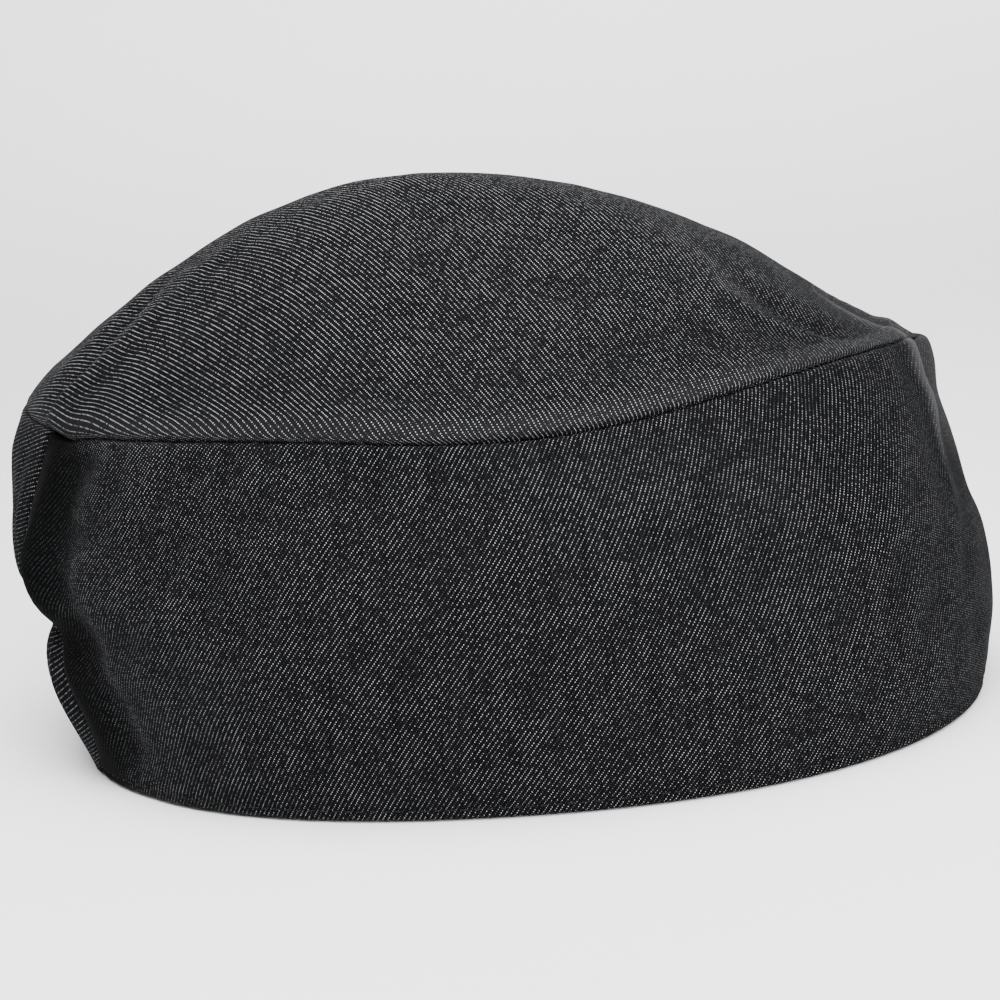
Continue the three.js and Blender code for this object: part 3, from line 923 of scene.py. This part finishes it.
def denim(name, warp, weft, weft_share, sheen):
    """Three-up one-down twill: pale weft dots on dark warp, along rising diagonals."""
    s = Shader(name)
    u, v = s.cloth()
    wobble = s.times(s.math("SUBTRACT", s.noise(u, v, 5.0), 0.5), 0.4)
    x, y = s.over(s.plus(u, wobble), END), s.over(s.plus(v, wobble), PICK)
    end, pick = s.math("FLOOR", x), s.math("FLOOR", y)
    across = s.math("SUBTRACT", s.math("FRACT", x), 0.5)
    along = s.math("SUBTRACT", s.math("FRACT", y), 0.5)
    step = s.math("FLOORED_MODULO", s.math("SUBTRACT", end, pick), 4.0)
    on_weft = s.math("COMPARE", step, 0.0, 0.4)
    reach = s.math("SQRT", s.plus(s.math("POWER", across, 2.0), s.math("POWER", along, 2.0)))
    dot = s.times(on_weft, s.smooth(reach, 0.13, 0.4, 1.0, 0.0))

    # No two dots are alike, the weft shows more in some places than others, and threads vary.
    luck = s.smooth(s.chance(end, pick), 0.0, 1.0, 0.08, 1.15)
    streak = s.smooth(s.noise(u, s.over(v, 6.0), 5.0, 1.0), 0.3, 0.7, 0.88, 1.06)
    broad = s.smooth(s.noise(u, v, 22.0, 2.0), 0.3, 0.7, 0.9, 1.06)
    slub = s.smooth(s.noise(s.over(u, 30.0), v, 0.8), 0.3, 0.7, 0.7, 1.2)
    # The weft shows more on ridges, as wear, and less in hollows, as painted shade.
    hollow = s.smooth(s.attribute("ridge"), -0.8, 0.7, 0.72, 1.25)
    fade_and_shade = s.attribute("fade_and_shade")
    show = s.times(s.times(luck, s.times(streak, broad)), s.times(slub, hollow))
    paleness = s.times(dot, s.times(show, s.times(fade_and_shade, weft_share)), clamp=True)

    # Where the weft is dimmed as painted shade, the warp is darkened too, also as painted shade.
    warp_thread = s.smooth(s.noise(u, s.over(v, 40.0), 0.7), 0.3, 0.7, 0.6, 1.3)
    fuzz = s.smooth(s.noise(u, v, 0.16, 1.0), 0.35, 0.75, 0.8, 1.3)
    painted_warp_shade = s.smooth(fade_and_shade, 0.1, 0.9, 0.3, 1.0)
    dark = s.node("ShaderNodeVectorMath", operation="SCALE")
    s.feed(dark.inputs[0], warp[:3])
    s.feed(dark.inputs["Scale"], s.times(warp_thread, fuzz, painted_warp_shade))
    # Pale where the dark face is rubbed off, and as painted sheen along the forehead's creases and the
    # crown's front ridges.
    worn_and_sheen = s.times(s.attribute("wear_and_sheen"), s.smooth(fuzz, 0.8, 1.3, 0.6, 1.0), clamp=True)
    colour = s.blend(worn_and_sheen, s.blend(paleness, dark.outputs[0], weft), WORN_AND_SHEEN_GREY)
    thread = s.math("SUBTRACT", 0.25, s.math("POWER", across, 2.0))
    height = s.plus(s.times(thread, 2.0), s.times(on_weft, -0.35))
    return s.finish(colour, 0.92, sheen, height, 0.00009, gloss=0.03)


def woven(name, light, dark, thread, sheen=0.15, herringbone=False):
    """Plain or herringbone cotton, for tape and the sweatband."""
    s = Shader(name)
    u, v = s.cloth()
    x, y = s.over(u, thread), s.over(v, thread)
    if herringbone:
        wave = s.sine(s.plus(s.math("PINGPONG", x, 6.0), y), 2.1)
    else:
        wave = s.times(s.sine(x, math.pi), s.sine(y, math.pi))
    slub = s.noise(s.over(u, 12.0), v, 0.7)
    blotch = s.noise(u, v, 11.0, 3.0)
    level = s.plus(s.times(wave, 0.3), s.plus(s.times(slub, 0.7), s.times(blotch, 0.5)))
    colour = s.blend(s.smooth(level, 0.1, 1.0), dark, light)
    return s.finish(colour, 0.95, sheen, wave, 0.00006)


def elastic_web():
    """Ribbed knitted elastic."""
    s = Shader("elastic web")
    u, v = s.cloth()
    rib, knit = s.sine(v, 2 * math.pi / 1.3), s.sine(u, 2 * math.pi / 0.8)
    level = s.plus(s.times(rib, 0.5), s.times(knit, 0.3))
    colour = s.blend(s.smooth(level, -0.7, 0.8), grey(0.008), grey(0.05))
    return s.finish(colour, 0.75, 0.1, level, 0.0002)


def thread_material(name, level):
    """Two plies twisted together."""
    s = Shader(name)
    u, v = s.cloth()
    twist = s.math("SINE", s.plus(s.times(u, 6.0), s.times(v, 9.0)))
    fluff = s.noise(u, v, 0.25)
    tone = s.smooth(s.plus(twist, fluff), -0.4, 1.6)
    colour = s.blend(tone, grey(level * 0.4), grey(level * 1.7))
    return s.finish(colour, 0.75, 0.01, twist, 0.00004, gloss=0.06)


def satin():
    """Fine glossy ribs."""
    s = Shader("label satin")
    u, v = s.cloth()
    lines = s.sine(v, 2 * math.pi / 0.35)
    level = s.plus(s.times(lines, 0.15), s.noise(u, v, 6.0, 3.0))
    colour = s.blend(s.smooth(level, 0.2, 0.9), (0.5, 0.49, 0.46, 1), (0.72, 0.71, 0.68, 1))
    return s.finish(colour, 0.45, 0.2, lines, 0.00004)


def pale_floor():
    s = Shader("pale floor")
    soft = s.node("ShaderNodeTexNoise")
    s.feed(soft.inputs["Vector"], s.node("ShaderNodeTexCoord").outputs["Object"])
    s.feed(soft.inputs["Scale"], 3.0)
    colour = s.blend(soft.outputs[0], (0.84, 0.84, 0.84, 1), (0.88, 0.88, 0.88, 1))
    return s.finish(colour, 0.8)


# ---- Building ----


def thicken(piece, thickness, back=None):
    """Gives a sheet its thickness, inwards. back is the material of its other face."""
    solid = piece.modifiers.new("thickness", "SOLIDIFY")
    solid.thickness = thickness * MM
    solid.offset = -1
    solid.use_even_offset = False
    if back:
        piece.data.materials.append(back)
        solid.material_offset = 1
        solid.material_offset_rim = 0


def place(piece, node, material):
    """Gives a piece its material, puts it under the root body, and hides the CAD node that it stands
    for.
    """
    piece.data.materials.append(material)
    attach(piece, "root")
    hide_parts(node)


denim_face = denim("black denim", grey(0.0028, 1.25), grey(0.31, 1.02), 1.0, 0.0025)
denim_back = denim("black denim, wrong side", grey(0.03), grey(0.25), 0.9, 0.05)
cotton = woven("sweatband cotton", grey(0.045), grey(0.018), 0.45)
tape_cotton = woven("binding tape", grey(0.05), grey(0.012), 0.4, herringbone=True)
black_thread = thread_material("black thread", 0.010)
web = elastic_web()
label_satin = satin()


def lining_points(angles, heights, depths):
    """Points inside the settled wall, and the unit normals that point out through it. The parts
    of the wall that hang from the crown seam move only a little with its folds."""
    angle, height, depth = np.broadcast_arrays(angles, heights, depths)
    angle = np.where(angle > LEFT_SEAM, angle - 360, angle)
    at_nape = angle < RIGHT_SEAM
    relief = np.where(at_nape, nape.relief_at(angle, height), band.relief_at(angle, height))
    near_seam = bell(from_nape(angle) - BACK_SEAM, 2.5)
    normal = outward(wall, angle, height)
    return wall(angle, height) + normal * (relief * (1 - near_seam) - depth)[..., None], normal


def sewn_row(name, node, points, normals, **shape):
    """A row of stitches in black thread along a line of points."""
    row = stitches(name, *stitch_spots(points, normals), **shape)
    place(row, node, black_thread)
    return row


def build_crown_tape():
    """The binding folded round the turned-in edges of the crown seam, and its row of stitches."""
    # Down its outer side, round the edges' foot and up its inner side: depths, and mm below the seam.
    profile = [(1.35, 3.5), (1.3, 6), (1.25, 9), (1.3, 11.2), (1.9, 12.0), (3.3, 12.1), (4.1, 11.6)]
    profile += [(4.3, 10.5), (4.25, 8), (4.2, 5.5), (4.1, 3.6)]
    depth, below = np.array(profile).T[..., None]
    angles = np.linspace(90, 450, 321)
    along = round_wall(angles)
    points, _ = lining_points(angles[None], SEAM_HEIGHT - below, depth)
    points[..., 2] += 0.24 * waves(along[None], 0 * below, 7, seed=41)
    tape = strip("crown_tape", points, along, np.arange(len(profile)) * 2.6)
    place(tape, "crown_seam_tape", tape_cotton)
    thicken(tape, TAPE)

    line, _ = lining_points(angles, SEAM_HEIGHT - 4.9, 4.3)
    normals = -outward(wall, angles, np.full(angles.shape, 70.0))
    return tape, sewn_row("crown_tape_stitches", "crown_tape_stitching", line, normals)


def nape_angles():
    return np.linspace(NAPE_LEFT_SEAM + SEAM_INSET, RIGHT_SEAM - SEAM_INSET, 300)


def build_wall_rows():
    """The stitching round the hem, and over the channel at the nape."""
    angles = np.linspace(RIGHT_SEAM + SEAM_INSET, LEFT_SEAM - SEAM_INSET, 900)
    hem = sewn_row("hem_stitches", "hem_topstitch", *band.at(angles, HEM_ROW), lift=0.2)
    notch_line = nape.at(nape_angles(), NOTCH_HEIGHT)
    return hem, sewn_row("channel_stitches", "channel_topstitch", *notch_line)


def build_elastic():
    heights, angles = evenly(2.6, 26.5, 2), nape_angles()[::3]
    points, _ = nape.at(angles[None], heights[:, None], 1.3)
    elastic = strip("elastic", points, round_wall(angles), heights)
    place(elastic, "back_elastic", web)
    thicken(elastic, 1.0)
    return elastic


def build_sweatband():
    """The cotton strip inside the hem, and the row of stitches near its upper edge."""
    angles = np.linspace(RIGHT_SEAM + 3, LEFT_SEAM - 3, 300)
    heights = np.r_[2.2, evenly(3, 29, 2), 29.6]
    ripple = waves(round_wall(angles)[None], heights[:, None], 22, seed=51)
    points, normals = band.at(angles[None], heights[:, None], 2.45 + 0.25 * (1 + ripple))
    points[..., 2] = np.maximum(points[..., 2], 1.5)
    sweat = strip("sweatband_cloth", points, round_wall(angles), heights)
    place(sweat, "sweatband", cotton)
    thicken(sweat, 0.6)
    sewn = int(np.abs(heights - 27).argmin())
    line = points[sewn] - normals[sewn] * 0.62
    return sweat, sewn_row("sweatband_stitches", "sweatband_stitching", line, -normals[sewn])


def build_back_tape(side, seam):
    """The tape over a back seam, with its two rows of stitches."""
    heights = evenly(35, SEAM_HEIGHT - 12.5, 2)
    across = np.linspace(-6, 6, 7) / MEAN_RADIUS
    angle, height = np.meshgrid(seam + np.degrees(across), heights)
    points, normal = lining_points(angle, height, 3.1)
    tape = strip(f"back_tape_{side}", points, across * MEAN_RADIUS, heights)
    place(tape, f"back_seam_tape_{side}", tape_cotton)
    thicken(tape, TAPE)
    rows = [stitch_spots(points[:, c] - normal[:, c] * (TAPE + 0.02), -normal[:, c]) for c in (1, 5)]
    both = stitches(f"back_tape_stitches_{side}", *map(np.vstack, zip(*rows)))
    place(both, f"back_tape_stitching_{side}", black_thread)


def build_tack(side, seam, towards_nape):
    """The ladder of short stitches that fastens an end of the elastic."""
    heights = np.arange(4.5, 26, 0.75)
    angle = seam + towards_nape * 2.6 + 0 * heights
    wide = np.degrees(1.1 / MEAN_RADIUS)
    normals = outward(wall, angle, heights)
    inwards = normals * (2 * FOLD + CHANNEL_DEPTH + 0.02)
    starts = wall(angle - wide, heights) - inwards
    ends = wall(angle + wide, heights + 0.35) - inwards
    tack = stitches(f"tack_{side}", starts, ends, -normals, radius=0.22)
    place(tack, f"elastic_tack_{side}", black_thread)


def build_label():
    """A blank care label, folded in two, that hangs from the crown's binding at the nape."""
    # Down its front, round its fold and up its back: mm below the seam, and depths.
    front = np.stack([evenly(5, 30, 2), np.linspace(4.75, 5.6, 13)])
    fold = np.array([[31.0, 31.4, 31.0], [5.7, 6.0, 6.4]])
    back = np.stack([evenly(30, 7, 2), np.linspace(6.4, 5.3, 13)])
    below, depth = np.hstack([front, fold, back])[..., None]
    height = SEAM_HEIGHT - below
    across = np.linspace(-LABEL_WIDTH / 2, LABEL_WIDTH / 2, 9)
    squeeze = BACK_SEAM / seam_angle(height)  # so that it stays straight where the seams lean
    points, _ = lining_points(90 + np.degrees(across / NAPE_RADIUS) * squeeze, height, depth)
    label = strip("blank_label", points, across, np.arange(len(below)) * 2.0)
    place(label, "care_label", label_satin)
    thicken(label, 0.2)
    return label


band, band_cloth = build_band()
nape, nape_cloth = build_nape()
crown_cloth = build_crown()
tape, tape_row = build_crown_tape()
hem_row, channel_row = build_wall_rows()
elastic = build_elastic()
sweat, sweat_row = build_sweatband()
for side, seam, towards_nape in (("right", RIGHT_SEAM, -1), ("left", NAPE_LEFT_SEAM, 1)):
    build_back_tape(side, seam)
    build_tack(side, seam, towards_nape)
label = build_label()

# ---- Floor, light and camera ----

FLOOR_RADIUS, FLOOR_SWEEP, FLOOR_GAP = 600.0, 3000.0, 0.2


def floor():
    """A flat disc whose edge sweeps up into a wall all round, so that no horizon shows."""
    bend = np.linspace(0, math.pi / 2, 37)
    radii = np.r_[1, 300, FLOOR_RADIUS + FLOOR_SWEEP * np.sin(bend), FLOOR_RADIUS + FLOOR_SWEEP]
    heights = np.r_[0, 0, FLOOR_SWEEP * (1 - np.cos(bend)), FLOOR_SWEEP + 600]
    around = np.linspace(0, 2 * np.pi, 65)
    x, y = radii[:, None] * np.cos(around), radii[:, None] * np.sin(around)
    points = np.stack([x, y, heights[:, None] + 0 * around - FLOOR_GAP], -1)
    faces = grid_faces(len(radii), len(around))[:, ::-1]
    piece = make_mesh("floor", points.reshape(-1, 3), faces)
    piece.data.materials.append(pale_floor())


def area_light(name, place_mm, size, power, aim=(0, 0, 50)):
    data = bpy.data.lights.new(name, "AREA")
    data.size, data.energy = size, power
    lamp = add(name, data)
    lamp.location = Vector(place_mm) * MM
    towards = (Vector(aim) - Vector(place_mm)).normalized()
    lamp.rotation_mode = "QUATERNION"
    lamp.rotation_quaternion = towards.to_track_quat("-Z", "Y")


def sunlight(name, source, strength):
    """Even light from far away, from the direction of source, as soft as an overcast sky."""
    data = bpy.data.lights.new(name, "SUN")
    data.energy, data.angle = strength, math.radians(60)
    lamp = add(name, data)
    lamp.rotation_mode = "QUATERNION"
    lamp.rotation_quaternion = Vector(source).to_track_quat("Z", "Y")


# The camera stands round from the front (0) by the wearer's left (90), and looks at a point near
# the cap's middle.
AZIMUTH, DISTANCE, EYE_HEIGHT, ROLL = 276.67, 524.7, 159.5, -5.62
AIM_ASIDE, AIM_HEIGHT = -3.5, 47.6
LENS = 84.1


def camera():
    a = math.radians(AZIMUTH)
    ahead = Vector((0, -HEM_FORWARD, 0))
    eye = Vector((math.sin(a) * DISTANCE, -math.cos(a) * DISTANCE, EYE_HEIGHT)) + ahead
    aim = Vector((math.cos(a) * AIM_ASIDE, math.sin(a) * AIM_ASIDE, AIM_HEIGHT)) + ahead
    forward = (aim - eye).normalized()
    level = forward.cross(Vector((0, 0, 1))).normalized()
    upright = level.cross(forward)
    roll = math.radians(ROLL)
    right = math.cos(roll) * level + math.sin(roll) * upright
    up = -math.sin(roll) * level + math.cos(roll) * upright
    data = bpy.data.cameras.new("camera")
    data.lens, data.sensor_width = LENS, 36
    data.clip_start, data.clip_end = 0.01, 20
    taker = add("camera", data)
    turn = Matrix((right, up, -forward)).transposed().to_4x4()
    taker.matrix_world = Matrix.Translation(eye * MM) @ turn
    bpy.context.scene.camera = taker


def world():
    sky = bpy.data.worlds.new("studio")
    bpy.context.scene.world = sky
    sky.use_nodes = True
    background = sky.node_tree.nodes["Background"]
    background.inputs["Color"].default_value = (1, 1, 1, 1)
    background.inputs["Strength"].default_value = 0.17


floor()
area_light("key", (-770, -480, 600), 0.8, 22)
area_light("top", (-150, 30, 900), 0.9, 29)
sunlight("far side", (1, 0.4, 0.7), 0.25)
area_light("backdrop", (1300, 0, 1500), 1.5, 70, aim=(3000, 0, 300))
world()
camera()
